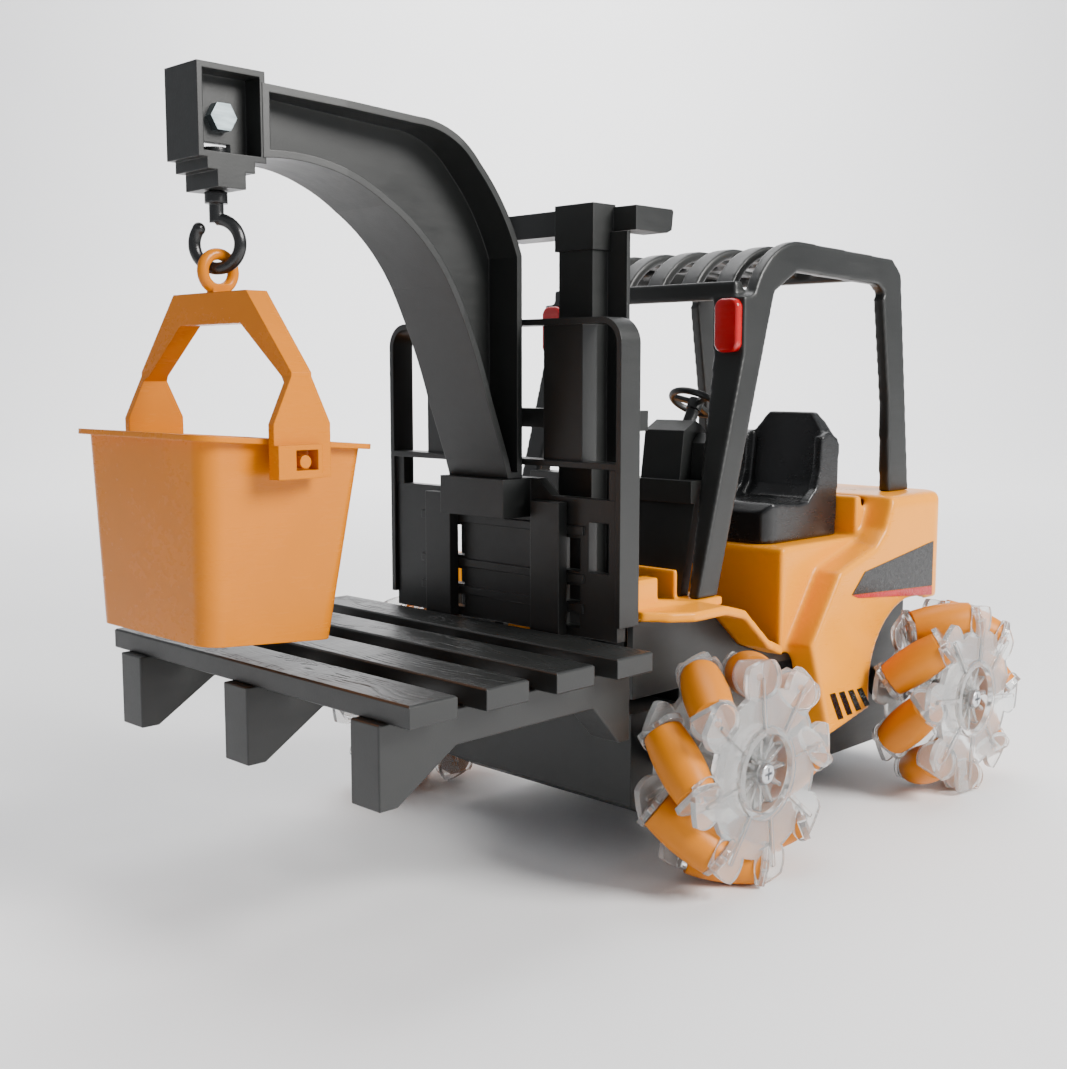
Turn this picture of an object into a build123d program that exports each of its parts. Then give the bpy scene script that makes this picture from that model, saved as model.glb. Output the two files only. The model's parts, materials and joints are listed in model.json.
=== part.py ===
from build123d import *
import math
import os

# Toy forklift with mecanum wheels, crane jib, bucket and pallet, in millimetres.
# +X points to the forks, +Y to the driver's left, +Z up; Z = 0 is the floor.
# The origin is the middle of the whole machine's footprint.

# ---- driving dimensions ----------------------------------------------------
FRONT_AXLE_X = 5.0
WHEEL_BASE = 142.0
REAR_AXLE_X = FRONT_AXLE_X - WHEEL_BASE
WHEEL_R = 38.0
WHEEL_Y = 78.5            # middle of each wheel's width
ROLLER_COUNT = 8
ROLLER_R = 7.6            # barrel radius at its middle
ROLLER_HALF = 11.6        # half the barrel's length along its own axis
ROLLER_PITCH_R = WHEEL_R - ROLLER_R
TRUNNION_R = 1.2
RUNNING_CLEARANCE = 0.06
AXLE_R = 2.5

SHAFT_END_Y = 34.0        # how far in the drive shafts reach
SCREW_R = 1.4

BODY_HALF_W = 61.5        # outer side panels
CORE_HALF_W = 50.0        # seat pedestal
WALL = 2.0
REAR_X = -165.0
TRAY_HALF_W = 46.0
TRAY_FLOOR_Z = 15.5
SLEEVE_END_Y = 60.0
HATCH_X = (-112.0, -66.0)
HATCH_HALF_W = 23.5
BOARD_X = (-58.0, -26.0)
BOARD_HALF_W = 14.0
BOARD_Z = 45.0
SWITCH_X = -40.0
SWITCH_Y = 36.0
SCREW_POINTS = ((-150, -36), (-150, 36), (-60, -38), (-60, 38), (-20, -20), (-20, 20))
GRILLE_X = (-127.0, -114.0)
GRILLE_HALF_W = 30.0
GRILLE_COUNT = 7
LABEL_T = 0.3

COLUMN_PLANE = Plane(origin=(-42, 22, 152), x_dir=(0, 1, 0), z_dir=(-0.5, 0, math.sqrt(0.75)))
COLUMN_BORE_R = 1.2
STEER_R = 9.3

GUARD_HALF_W = 49.0

RAIL_X = (16.0, 25.0)
RAIL_Y = (17.0, 32.2)
MAST_TOP_Z = 221.0
BACKREST_HALF_W = 56.5
BACKREST_Z = (85.0, 183.5)

PALLET_HALF_W = 75.7
PALLET_TOP_Z = 81.6
SLAT_T = 6.3
PALLET_BACK_X = 44.8
PALLET_FRONT_X = 141.4

JIB_FOOT_Z = 131.0
BOOM_HALF_W = 14.5
BOOM_BACK_X = 40.0
BOLT_Z = 236.0

HOOK_X = 146.0            # hook, bail and bucket hang on this line
HOOK_BOX_HALF_Y = 8.2
BUCKET_TILT = 4.3         # the bucket hangs with its front lip up, degrees
HOOK_RING_R = 6.8
HOOK_WIRE_R = 1.75
HOOK_SHANK_R = 2.05
BAIL_RING_R = 4.9
BAIL_RING_WIRE_R = 1.65
BAIL_RING_Z = 194.1
HOOK_YAW = 35.0           # hook's plane against the truck's cross plane, degrees
HOOK_SEAT_Z = 195.0       # centre of the hook's wire at the bottom of its bend
BUCKET_RIM_Z = 148.0
BUCKET_BASE_Z = 92.3
PEG_Z = 142.4
PEG_R = 1.8

os.makedirs("parts", exist_ok=True)


# ---- small helpers ---------------------------------------------------------
def save(builder, label):
    """Name a finished piece and write its STEP file."""
    builder.part.label = label
    export_step(builder.part, f"parts/{label}.step")


def save_solid(shape, label):
    """Name and write a placed copy of a finished piece."""
    shape.label = label
    export_step(shape, f"parts/{label}.step")


def outline(*points):
    """Add a straight-sided outline to the sketch that is open."""
    Polygon(*points, align=None)


def side(y):
    """Plane at Y = y whose sketch axes are X and Z; it extrudes towards -Y."""
    return Plane.XZ.offset(-y)


def front(x):
    """Plane at X = x whose sketch axes are Y and Z; it extrudes towards +X."""
    return Plane.YZ.offset(x)


def top(z):
    """Plane at Z = z; it extrudes upwards."""
    return Plane.XY.offset(z)


def block(x, y, z, mode=Mode.ADD):
    """Add or cut a box given by its low and high X, Y and Z."""
    with Locations(((x[0] + x[1]) / 2, (y[0] + y[1]) / 2, (z[0] + z[1]) / 2)):
        Box(x[1] - x[0], y[1] - y[0], z[1] - z[0], mode=mode)


def both_sides(low, high):
    """The same Y span on the left and, mirrored, on the right."""
    return ((low, high), (-high, -low))


# ---- mecanum wheel, built once at the origin as the front left one ----------
def roller_plane(angle):
    """Plane at a roller's middle: X along its axis, Z radially outwards."""
    a = math.radians(angle)
    radial = Vector(math.cos(a), 0, math.sin(a))
    tangent = Vector(-math.sin(a), 0, math.cos(a))
    axis = (Vector(0, 1, 0) - tangent).normalized()
    return Plane(origin=radial * ROLLER_PITCH_R, x_dir=axis, z_dir=radial)


def barrel_radius(s):
    """Radius that keeps the roller's outline on the wheel's circle."""
    return WHEEL_R - math.hypot(ROLLER_PITCH_R, s * math.sin(math.radians(45)))


ROLLER_PHASE = 13.0       # how far the first roller stands above the wheel's middle, degrees
ROLLER_ANGLES = [ROLLER_PHASE + k * 360 / ROLLER_COUNT for k in range(ROLLER_COUNT)]
LOBE_S = (ROLLER_HALF + 0.4, ROLLER_HALF + 2.4)
LOBE_R = 7.8
ROLLER_GAP = 0.5          # air between a roller and the discs
DISC_Y = (10.2, 12.2)
DISC_R = 27.8
SCALLOP_R = 8.4           # round lobes of the star plate
RIM_R = WHEEL_R - 1.0     # the discs stay inside the rollers' circle
CUP_R = (13.0, 15.3)
CUP_FLOOR_Y = (5.4, 7.2)
BOSS_R = 4.2

with BuildPart() as rollers:
    for angle in ROLLER_ANGLES:
        plane = roller_plane(angle)
        with BuildSketch(plane):
            with BuildLine():
                end_r = barrel_radius(ROLLER_HALF)
                ThreePointArc((-ROLLER_HALF, end_r), (0, ROLLER_R), (ROLLER_HALF, end_r))
                Polyline((ROLLER_HALF, end_r), (ROLLER_HALF, TRUNNION_R), (LOBE_S[1], TRUNNION_R),
                         (LOBE_S[1], 0), (-LOBE_S[1], 0), (-LOBE_S[1], TRUNNION_R),
                         (-ROLLER_HALF, TRUNNION_R), (-ROLLER_HALF, end_r))
            make_face()
        revolve(axis=Axis(plane.origin, plane.x_dir))

def barrel(plane, gap):
    """One roller's barrel, grown by gap all round."""
    end_r = barrel_radius(ROLLER_HALF) + gap
    half = ROLLER_HALF + gap
    with BuildPart() as grown:
        with BuildSketch(plane):
            with BuildLine():
                ThreePointArc((-half, end_r), (0, ROLLER_R + gap), (half, end_r))
                Polyline((half, end_r), (half, 0), (-half, 0), (-half, end_r))
            make_face()
        revolve(axis=Axis(plane.origin, plane.x_dir))
    return grown.part


with BuildPart() as disc:
    # scalloped plate: one round lobe beside each roller's outer end
    with BuildSketch(side(DISC_Y[1])):
        Circle(DISC_R)
        for angle in ROLLER_ANGLES:
            with Locations(Rot(0, 0, angle)):
                with Locations((29.4, -9.6)):
                    Circle(SCALLOP_R)
        Circle(RIM_R, mode=Mode.INTERSECT)
    extrude(amount=DISC_Y[1] - DISC_Y[0])
    # cup round the hub
    with BuildSketch(side(DISC_Y[1] + 0.9)):
        Circle(CUP_R[1])
        Circle(CUP_R[0], mode=Mode.SUBTRACT)
    extrude(amount=DISC_Y[1] + 0.9 - CUP_FLOOR_Y[0])
    with BuildSketch(side(DISC_Y[1])):
        Circle(CUP_R[0])
    extrude(amount=DISC_Y[1] - DISC_Y[0], mode=Mode.SUBTRACT)
    with BuildSketch(side(CUP_FLOOR_Y[1])):
        Circle(CUP_R[0] + 0.5)
    extrude(amount=CUP_FLOOR_Y[1] - CUP_FLOOR_Y[0])
    # ribs and screw boss on the cup's floor
    with BuildSketch(side(CUP_FLOOR_Y[1] + 2.8)):
        for angle in range(0, 360, 30):
            with Locations(Rot(0, 0, angle)):
                Rectangle(CUP_R[0] + 0.5, 1.2, align=(Align.MIN, Align.CENTER))
    extrude(amount=3.0)
    with BuildSketch(side(CUP_FLOOR_Y[1] + 4.0)):
        Circle(BOSS_R)
    extrude(amount=4.2)
    # raised spokes on the star plate, one to each tooth
    with BuildSketch(side(DISC_Y[1] + 1.0)):
        for angle in ROLLER_ANGLES:
            with Locations(Rot(0, 0, angle - 20)):
                with Locations((14.5, 0)):
                    Rectangle(17.5, 1.4, align=(Align.MIN, Align.CENTER))
    extrude(amount=1.2)
    # tilted lobes that carry the rollers' trunnions
    for angle in ROLLER_ANGLES:
        with BuildSketch(Plane(origin=roller_plane(angle).from_local_coords((LOBE_S[0], 0, 0)),
                               z_dir=roller_plane(angle).x_dir)):
            Circle(LOBE_R)
        extrude(amount=LOBE_S[1] - LOBE_S[0])
    with BuildSketch(side(WHEEL_R)):
        Circle(RIM_R)
    extrude(amount=2 * WHEEL_R, mode=Mode.INTERSECT)
    for angle in ROLLER_ANGLES:
        add(barrel(roller_plane(angle), ROLLER_GAP), mode=Mode.SUBTRACT)
    for angle in ROLLER_ANGLES:
        with BuildSketch(Plane(origin=roller_plane(angle).from_local_coords((LOBE_S[0] - 0.5, 0, 0)),
                               z_dir=roller_plane(angle).x_dir)):
            Circle(TRUNNION_R + RUNNING_CLEARANCE)
        extrude(amount=LOBE_S[1] - LOBE_S[0] + 1.0, mode=Mode.SUBTRACT)
    # axle hole
    with BuildSketch(side(WHEEL_R)):
        Circle(AXLE_R)
    extrude(amount=2 * WHEEL_R, mode=Mode.SUBTRACT)

with BuildPart() as hub:
    # drive shaft with a spacer sleeve between the two discs
    with BuildSketch(side(CUP_FLOOR_Y[0])):
        Circle(AXLE_R + 2.6)
    extrude(amount=2 * CUP_FLOOR_Y[0])
    with BuildSketch(side(10.4)):
        Circle(AXLE_R)
    extrude(amount=10.4 + WHEEL_Y - SHAFT_END_Y)
    with BuildSketch(side(10.4)):
        Circle(SCREW_R)
    extrude(amount=8, mode=Mode.SUBTRACT)

with BuildPart() as wheel_screw:
    # pan head over the boss, cross recess, shank down the shaft
    with BuildSketch(side(13.0)):
        Circle(3.3)
    extrude(amount=1.8)
    with BuildSketch(side(13.0)):
        Rectangle(4.0, 0.9)
        Rectangle(0.9, 4.0)
    extrude(amount=1.0, mode=Mode.SUBTRACT)
    with BuildSketch(side(11.2)):
        Circle(SCREW_R)
    extrude(amount=8.0)
    fillet(wheel_screw.edges().filter_by(GeomType.CIRCLE).sort_by(Axis.Y)[-1], 0.6)

inner_disc = Rot(0, -2 * ROLLER_PHASE, 0) * Rot(180, 0, 0) * disc.part
CORNERS = (
    ("front_left", FRONT_AXLE_X, 1, 1),
    ("front_right", FRONT_AXLE_X, -1, 1),
    ("rear_left", REAR_AXLE_X, 1, -1),
    ("rear_right", REAR_AXLE_X, -1, -1),
)


def at_corner(shape, x, left, twist):
    """Put a wheel piece at its corner; mirror for the side and for the roller's hand."""
    placed = shape
    if twist < 0:
        placed = mirror(placed, about=Plane.XY)
    if left < 0:
        placed = mirror(placed, about=Plane.XZ)
    return Pos(x, left * WHEEL_Y, WHEEL_R) * placed


for corner, axle_x, left, twist in CORNERS:
    save_solid(at_corner(disc.part, axle_x, left, twist), f"{corner}_outer_disc")
    save_solid(at_corner(inner_disc, axle_x, left, twist), f"{corner}_inner_disc")
    save_solid(at_corner(rollers.part, axle_x, left, twist), f"{corner}_rollers")
    save_solid(at_corner(hub.part, axle_x, left, 1), f"{corner}_hub")
    save_solid(at_corner(wheel_screw.part, axle_x, left, 1), f"{corner}_wheel_screw")

# ---- drive motors, one behind each wheel ------------------------------------
MOTOR_Y = (24.6, 43.9)
for corner, axle_x, left, twist in CORNERS:
    inward = -1 if axle_x == FRONT_AXLE_X else 1
    near, far = MOTOR_Y
    span_y = (near, far) if left > 0 else (-far, -near)
    mid_y = left * (near + far) / 2
    with BuildPart() as gearmotor:
        with Locations((axle_x + inward * 7.5, mid_y, WHEEL_R)):
            Box(37, far - near, 22)
        fillet(gearmotor.edges().filter_by(Axis.Y), 3.0)
        with BuildSketch(front(axle_x + inward * 26)):
            with Locations((mid_y, WHEEL_R)):
                Circle(9.6)
        extrude(amount=inward * 21)
        with BuildSketch(front(axle_x + inward * 47)):
            with Locations((mid_y, WHEEL_R)):
                Circle(4.2)
        extrude(amount=inward * 2.4)
        # foot that stands on the tray floor
        block((axle_x + inward * 7 - 5, axle_x + inward * 7 + 5), span_y, (TRAY_FLOOR_Z, WHEEL_R - 10.5))
        # socket for the drive shaft
        with BuildSketch(side(left * far + (left > 0) * 0.1)):
            with Locations((axle_x, WHEEL_R)):
                Circle(AXLE_R + RUNNING_CLEARANCE)
        extrude(amount=left * (far - SHAFT_END_Y + 0.5), mode=Mode.SUBTRACT)
    save(gearmotor, f"{corner}_gearmotor")

# ---- chassis tray -----------------------------------------------------------
TRAY_X = (-158.0, 20.0)
TRAY_Z = (13.0, 61.0)
WELL_TOP_Z = 84.2
FLANGE_HALF_W = 50.0
with BuildPart() as chassis_tray:
    with BuildSketch(side(TRAY_HALF_W)):
        outline((TRAY_X[0], 20), (TRAY_X[0] + 8, TRAY_Z[0]), (6, TRAY_Z[0]), (TRAY_X[1], 20),
                (TRAY_X[1], 52), (-5.5, 52), (-5.5, TRAY_Z[1]), (-112, TRAY_Z[1]), (-112, 75),
                (TRAY_X[0], 75))
    extrude(amount=2 * TRAY_HALF_W)
    # hollow, closed over at the front where the mast stands
    with BuildSketch(side(TRAY_HALF_W - WALL)):
        outline((TRAY_X[0] + WALL, 21), (TRAY_X[0] + 9, TRAY_FLOOR_Z), (5.4, TRAY_FLOOR_Z),
                (TRAY_X[1] - WALL, 21), (TRAY_X[1] - WALL, 49.5), (-8, 49.5), (-8, 62),
                (-110, 62), (-110, 76), (TRAY_X[0] + WALL, 76))
    extrude(amount=2 * (TRAY_HALF_W - WALL), mode=Mode.SUBTRACT)
    # ledge and wheel-well walls under the fenders and the pedestal
    for y in both_sides(TRAY_HALF_W - 0.5, FLANGE_HALF_W):
        block((-112, 24), y, (58.5, TRAY_Z[1]))
    for y in both_sides(FLANGE_HALF_W - 2.5, FLANGE_HALF_W):
        with BuildSketch(side(y[1])):
            outline((24, 60), (24, WELL_TOP_Z), (-9, WELL_TOP_Z), (-19.4, 81.5), (-34, 69), (-46, 64.8),
                    (-60.8, 61.2), (-60.8, 60))
        extrude(amount=y[1] - y[0])
    # cab floor and its front bulkhead
    block((-60.8, -8), (-TRAY_HALF_W - 2, TRAY_HALF_W + 2), (59, TRAY_Z[1]))
    # sleeves round the drive shafts
    for axle_x in (FRONT_AXLE_X, REAR_AXLE_X):
        for y in both_sides(TRAY_HALF_W - 0.5, SLEEVE_END_Y):
            with BuildSketch(side(y[1])):
                with Locations((axle_x, WHEEL_R)):
                    Circle(AXLE_R + 3.5)
            extrude(amount=y[1] - y[0])
        with BuildSketch(side(SLEEVE_END_Y)):
            with Locations((axle_x, WHEEL_R)):
                Circle(AXLE_R + 0.9)
        extrude(amount=2 * SLEEVE_END_Y, mode=Mode.SUBTRACT)
    # battery hatch and switch slot
    block(HATCH_X, (-HATCH_HALF_W, HATCH_HALF_W), (TRAY_Z[0] - 1, TRAY_FLOOR_Z + 1), mode=Mode.SUBTRACT)
    block((SWITCH_X - 5, SWITCH_X + 5), (SWITCH_Y - 2.2, SWITCH_Y + 2.2), (TRAY_Z[0] - 1, TRAY_FLOOR_Z + 1),
          mode=Mode.SUBTRACT)
    # screw holes through the floor, countersunk
    for x, y in SCREW_POINTS:
        with BuildSketch(top(TRAY_Z[0] - 1)):
            with Locations((x, y)):
                Circle(1.4)
        extrude(amount=6, mode=Mode.SUBTRACT)
        with BuildSketch(top(TRAY_Z[0])):
            with Locations((x, y)):
                Circle(2.9)
        extrude(amount=1.3, mode=Mode.SUBTRACT)
    # screw towers and circuit board posts
    for x, y in SCREW_POINTS:
        with BuildSketch(top(TRAY_FLOOR_Z)):
            with Locations((x, y)):
                Circle(3.2)
                Circle(1.4, mode=Mode.SUBTRACT)
        extrude(amount=12)
    for x in (BOARD_X[0] + 3, BOARD_X[1] - 3):
        for y in (-BOARD_HALF_W + 3, BOARD_HALF_W - 3):
            with BuildSketch(top(TRAY_FLOOR_Z - 0.5)):
                with Locations((x, y)):
                    Circle(2.0)
            extrude(amount=BOARD_Z - TRAY_FLOOR_Z + 0.5)
    # strengthening ribs under the floor's front
    for y in (-30, -15, 15, 30):
        block((-40, -20), (y - 0.8, y + 0.8), (TRAY_FLOOR_Z - 0.5, TRAY_FLOOR_Z + 4))
save(chassis_tray, "chassis_tray")

with BuildPart() as chassis_screws:
    for x, y in SCREW_POINTS:
        with BuildSketch(top(TRAY_Z[0])):
            with Locations((x, y)):
                Circle(2.8)
        extrude(amount=1.3)
        with BuildSketch(top(TRAY_Z[0] + 1.3)):
            with Locations((x, y)):
                Circle(1.35)
        extrude(amount=11)
        with BuildSketch(top(TRAY_Z[0])):
            with Locations((x, y)):
                Rectangle(3.4, 0.8)
                Rectangle(0.8, 3.4)
        extrude(amount=0.8, mode=Mode.SUBTRACT)
save(chassis_screws, "chassis_screws")

with BuildPart() as battery_door:
    block((HATCH_X[0] + 0.1, HATCH_X[1] - 0.1), (-HATCH_HALF_W + 0.1, HATCH_HALF_W - 0.1),
          (TRAY_Z[0], TRAY_FLOOR_Z))
    for k in range(6):
        x = HATCH_X[0] + 8 + 4 * k
        block((x, x + 1.6), (-12, 12), (TRAY_Z[0] - 0.1, TRAY_Z[0] + 0.8), mode=Mode.SUBTRACT)
save(battery_door, "battery_door")

with BuildPart() as battery_pack:
    # three cells in shrink wrap, lying across the tray
    for k in range(3):
        with BuildSketch(side(22)):
            with Locations((HATCH_X[0] + 8.6 + 14.4 * k, TRAY_FLOOR_Z + 7)):
                Circle(7)
        extrude(amount=44)
    block((HATCH_X[0] + 8, HATCH_X[0] + 38), (-21, 21), (TRAY_FLOOR_Z + 1, TRAY_FLOOR_Z + 13))
save(battery_pack, "battery_pack")

with BuildPart() as circuit_board:
    block(BOARD_X, (-BOARD_HALF_W, BOARD_HALF_W), (BOARD_Z, BOARD_Z + 1.4))
    block((BOARD_X[0] + 6, BOARD_X[0] + 16), (-5, 5), (BOARD_Z + 1.4, BOARD_Z + 3.4))
    block((BOARD_X[1] - 9, BOARD_X[1] - 3), (-11, -3), (BOARD_Z + 1.4, BOARD_Z + 6))
    with BuildSketch(top(BOARD_Z + 1.4)):
        with Locations((BOARD_X[1] - 7, 7), (BOARD_X[0] + 5, 9)):
            Circle(3)
    extrude(amount=7)
save(circuit_board, "circuit_board")

with BuildPart() as power_switch:
    # thumb slider standing through the tray's floor
    block((SWITCH_X - 3, SWITCH_X + 0.6), (SWITCH_Y - 1.7, SWITCH_Y + 1.7), (TRAY_Z[0] - 1.4, TRAY_FLOOR_Z + 0.4))
    block((SWITCH_X - 5.4, SWITCH_X + 3), (SWITCH_Y - 3.2, SWITCH_Y + 3.2), (TRAY_FLOOR_Z + 0.4, TRAY_FLOOR_Z + 2.2))
save(power_switch, "power_switch")

with BuildPart() as switch_body:
    block((SWITCH_X - 8.5, SWITCH_X + 8.5), (SWITCH_Y - 5, SWITCH_Y + 5), (TRAY_FLOOR_Z, TRAY_FLOOR_Z + 7))
    block((SWITCH_X - 5.8, SWITCH_X + 6.2), (SWITCH_Y - 3.5, SWITCH_Y + 3.5), (TRAY_FLOOR_Z - 1, TRAY_FLOOR_Z + 2.6),
          mode=Mode.SUBTRACT)
save(switch_body, "switch_body")

# ---- body: rear hood, side panels and seat pedestal --------------------------
DECK_Z = 117.5
SEAT_DECK_Z = 101.5
HOOD_X = -112.0
PEDESTAL_X = -61.0
ARCH_R = 31.5
with BuildPart() as body_shell:
    with BuildSketch(side(BODY_HALF_W)):
        outline((REAR_X, 73), (REAR_X, DECK_Z), (-121, DECK_Z), (-115.7, 105), (-108.6, 98.6),
                (-95.6, 94.8), (-83, 91), (-64.6, 64.9), (-77.9, 28.5), (-110, 35), (-138, 44), (-149, 73))
    extrude(amount=2 * BODY_HALF_W)
    block((-113, -60), (-CORE_HALF_W, CORE_HALF_W), (20, 120), mode=Mode.SUBTRACT)
    # rounded rear corners and shoulders
    fillet(body_shell.edges().filter_by(Axis.Z).sort_by(Axis.X)[0:2], 11)
    fillet(body_shell.edges().filter_by_position(Axis.Z, DECK_Z - 0.1, DECK_Z + 0.1).filter_by_position(
        Axis.X, REAR_X - 1, -121.5), 3.5)
    with BuildSketch(side(CORE_HALF_W)):
        outline((REAR_X + 3, 73), (REAR_X + 3, DECK_Z - 4), (HOOD_X - 4, DECK_Z - 4), (HOOD_X - 4, DECK_Z),
                (HOOD_X, DECK_Z), (HOOD_X, SEAT_DECK_Z), (PEDESTAL_X, SEAT_DECK_Z), (PEDESTAL_X, 61),
                (-112, 61), (-112, 73))
    extrude(amount=2 * CORE_HALF_W)
    fillet(body_shell.edges().filter_by_position(Axis.X, PEDESTAL_X - 0.1, PEDESTAL_X + 0.1).filter_by_position(
        Axis.Z, SEAT_DECK_Z - 0.1, SEAT_DECK_Z + 0.1), 2.5)
    # hollow core
    with BuildSketch(side(CORE_HALF_W - WALL)):
        outline((REAR_X + WALL + 3, 60), (REAR_X + WALL + 3, DECK_Z - WALL), (HOOD_X - WALL, DECK_Z - WALL),
                (HOOD_X - WALL, SEAT_DECK_Z - WALL), (PEDESTAL_X - WALL, SEAT_DECK_Z - WALL),
                (PEDESTAL_X - WALL, 60))
    extrude(amount=2 * (CORE_HALF_W - WALL), mode=Mode.SUBTRACT)
    # hollow side panels
    for y in both_sides(CORE_HALF_W, BODY_HALF_W - WALL):
        with BuildSketch(side(y[1])):
            outline((REAR_X + 9, 60), (REAR_X + 9, DECK_Z - 6), (-123.5, DECK_Z - 6), (-118.2, 102.6),
                    (-110, 96.2), (-96.6, 92.6), (-84.4, 88.8), (-67.2, 65), (-79.6, 30), (-110, 30))
        extrude(amount=y[1] - y[0], mode=Mode.SUBTRACT)
    # rear wheel arches
    with BuildSketch(side(BODY_HALF_W + 1)):
        with Locations((-138, 43.5)):
            Circle(ARCH_R)
    extrude(amount=2 * BODY_HALF_W + 2, mode=Mode.SUBTRACT)
    # recess in the deck for the louvre panel
    block(GRILLE_X, (-GRILLE_HALF_W, GRILLE_HALF_W), (DECK_Z - 1.2, DECK_Z + 1), mode=Mode.SUBTRACT)
save(body_shell, "body_shell")

with BuildPart() as hood_grille:
    block(GRILLE_X, (-GRILLE_HALF_W, GRILLE_HALF_W), (DECK_Z - 1.2, DECK_Z))
    for k in range(GRILLE_COUNT):
        y = (k - (GRILLE_COUNT - 1) / 2) * 8.4
        block((GRILLE_X[0] + 1.5, GRILLE_X[1] - 1.5), (y - 2.4, y + 2.4), (DECK_Z - 0.1, DECK_Z + 1.3))
save(hood_grille, "hood_grille")

with BuildPart() as side_labels:
    # bare band with a coloured foot, and hatch stripes on the sill
    for y in ((BODY_HALF_W, BODY_HALF_W + LABEL_T), (-BODY_HALF_W - LABEL_T, -BODY_HALF_W)):
        with BuildSketch(side(y[1])):
            outline((-91.3, 81.6), (-100.2, 89.6), (-153, 97.0), (-153, 78.4))
        extrude(amount=LABEL_T)
        for k in range(4):
            x = -77.5 - 6.4 * k
            with BuildSketch(side(y[1])):
                outline((x, 45 - k * 0.4), (x - 3.4, 45 - k * 0.4), (x - 9.8, 34 + k * 0.6), (x - 6.4, 34 + k * 0.6))
            extrude(amount=LABEL_T)
save(side_labels, "side_labels")

with BuildPart() as label_stripes:
    for y in ((BODY_HALF_W, BODY_HALF_W + LABEL_T), (-BODY_HALF_W - LABEL_T, -BODY_HALF_W)):
        with BuildSketch(side(y[1])):
            outline((-91.3, 81.4), (-153, 78.2), (-153, 74.6), (-96, 79.8))
        extrude(amount=LABEL_T)
save(label_stripes, "label_stripes")

# ---- front cowl and fenders --------------------------------------------------
FENDER_T = 3.4
COWL_TOP_Z = 98.0
FENDER_LINE = ((24, 85), (8, 84.2), (-9, 84.2), (-19.4, 81.5), (-34, 69), (-46, 64.8), (-60.8, 61.2))
with BuildPart() as front_cowl:
    for y in both_sides(43.3, 64.0):
        with BuildSketch(side(y[1])):
            with BuildLine():
                Polyline(*FENDER_LINE, *[(x, z + FENDER_T) for x, z in reversed(FENDER_LINE)], close=True)
            make_face()
        extrude(amount=y[1] - y[0])
    with BuildSketch(top(50)):
        with BuildLine():
            Polyline((24, -54), (17, -60), (9, -64), (-36, -64), (-46, -61), (-60.8, -51), (-60.8, 51),
                     (-46, 61), (-36, 64), (9, 64), (17, 60), (24, 54), close=True)
        make_face()
    extrude(amount=60, mode=Mode.INTERSECT)
    for y in both_sides(43.3, 50.0):
        block((-60.9, -9), y, (50, WELL_TOP_Z), mode=Mode.SUBTRACT)
    # top plate under the guard's feet
    block((-25, -6), (-50, 50), (WELL_TOP_Z, WELL_TOP_Z + FENDER_T))
    # cheeks either side of the mast
    for y in both_sides(43.3, 50.0):
        block((11, 24), y, (WELL_TOP_Z, COWL_TOP_Z))
        block((13, 22.5), (y[0] + 1.6, y[1] - 1.6), (WELL_TOP_Z - 1, COWL_TOP_Z - 1.8), mode=Mode.SUBTRACT)
        with BuildSketch(side(y[1])):
            outline((11.5, 84.2), (11.5, 90.5), (-9, 87.6), (-9, 84.2))
        extrude(amount=y[1] - y[0])
    # wall behind the mast
    block((-8, -6), (-43.3, 43.3), (TRAY_Z[1], COWL_TOP_Z))
save(front_cowl, "front_cowl")

# ---- cab ---------------------------------------------------------------------
FOOT_Z = WELL_TOP_Z + FENDER_T
with BuildPart() as dashboard:
    with BuildSketch(side(40)):
        outline((-13.0, FOOT_Z), (-20.6, 120), (-18.6, 120), (-18.6, 128), (-26.0, 128), (-26.0, 120),
                (-24.4, 120), (-17.4, FOOT_Z))
    extrude(amount=80)
    # steering console behind the bar
    with BuildSketch(side(33)):
        outline((-20.6, 127.5), (-23.0, 145.5), (-29.5, 149), (-37.5, 144.5), (-40.5, 127.5), (-38, 122),
                (-24.5, 122))
    extrude(amount=18)
    # steering column
    with BuildSketch(COLUMN_PLANE):
        Circle(2.4)
    extrude(amount=-9)
    with BuildSketch(COLUMN_PLANE):
        Circle(COLUMN_BORE_R)
    extrude(amount=-5, mode=Mode.SUBTRACT)
save(dashboard, "dashboard")

with BuildPart() as lever_box:
    with BuildSketch(side(38.6)):
        outline((-26, 119), (-27.5, 141), (-31, 144.5), (-38, 140), (-42, 124), (-38, 119))
    extrude(amount=5.4)
    for x in (-34.8, -38.8):
        with BuildSketch(top(138)):
            with Locations((x, 35.9)):
                Circle(0.9)
        extrude(amount=10)
        with Locations((x, 35.9, 148.6)):
            Sphere(1.7)
save(lever_box, "lever_box")

with BuildPart() as steering_wheel:
    with BuildSketch(COLUMN_PLANE.offset(2.2)):
        Circle(STEER_R + 1.2)
    extrude(amount=2.4)
    with BuildSketch(COLUMN_PLANE.offset(2.2)):
        Circle(STEER_R - 1.2)
    extrude(amount=2.4, mode=Mode.SUBTRACT)
    fillet(steering_wheel.edges(), 1.05)
    for angle in (90, 210, 330):
        with BuildSketch(COLUMN_PLANE.offset(2.6)):
            with Locations(Rot(0, 0, angle)):
                Rectangle(STEER_R - 0.2, 2.2, align=(Align.MIN, Align.CENTER))
        extrude(amount=1.6)
    with BuildSketch(COLUMN_PLANE.offset(0.3)):
        Circle(2.8)
    extrude(amount=4.2)
    with BuildSketch(COLUMN_PLANE.offset(0.3)):
        Circle(COLUMN_BORE_R - RUNNING_CLEARANCE)
    extrude(amount=-4.8)
save(steering_wheel, "steering_wheel")

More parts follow.
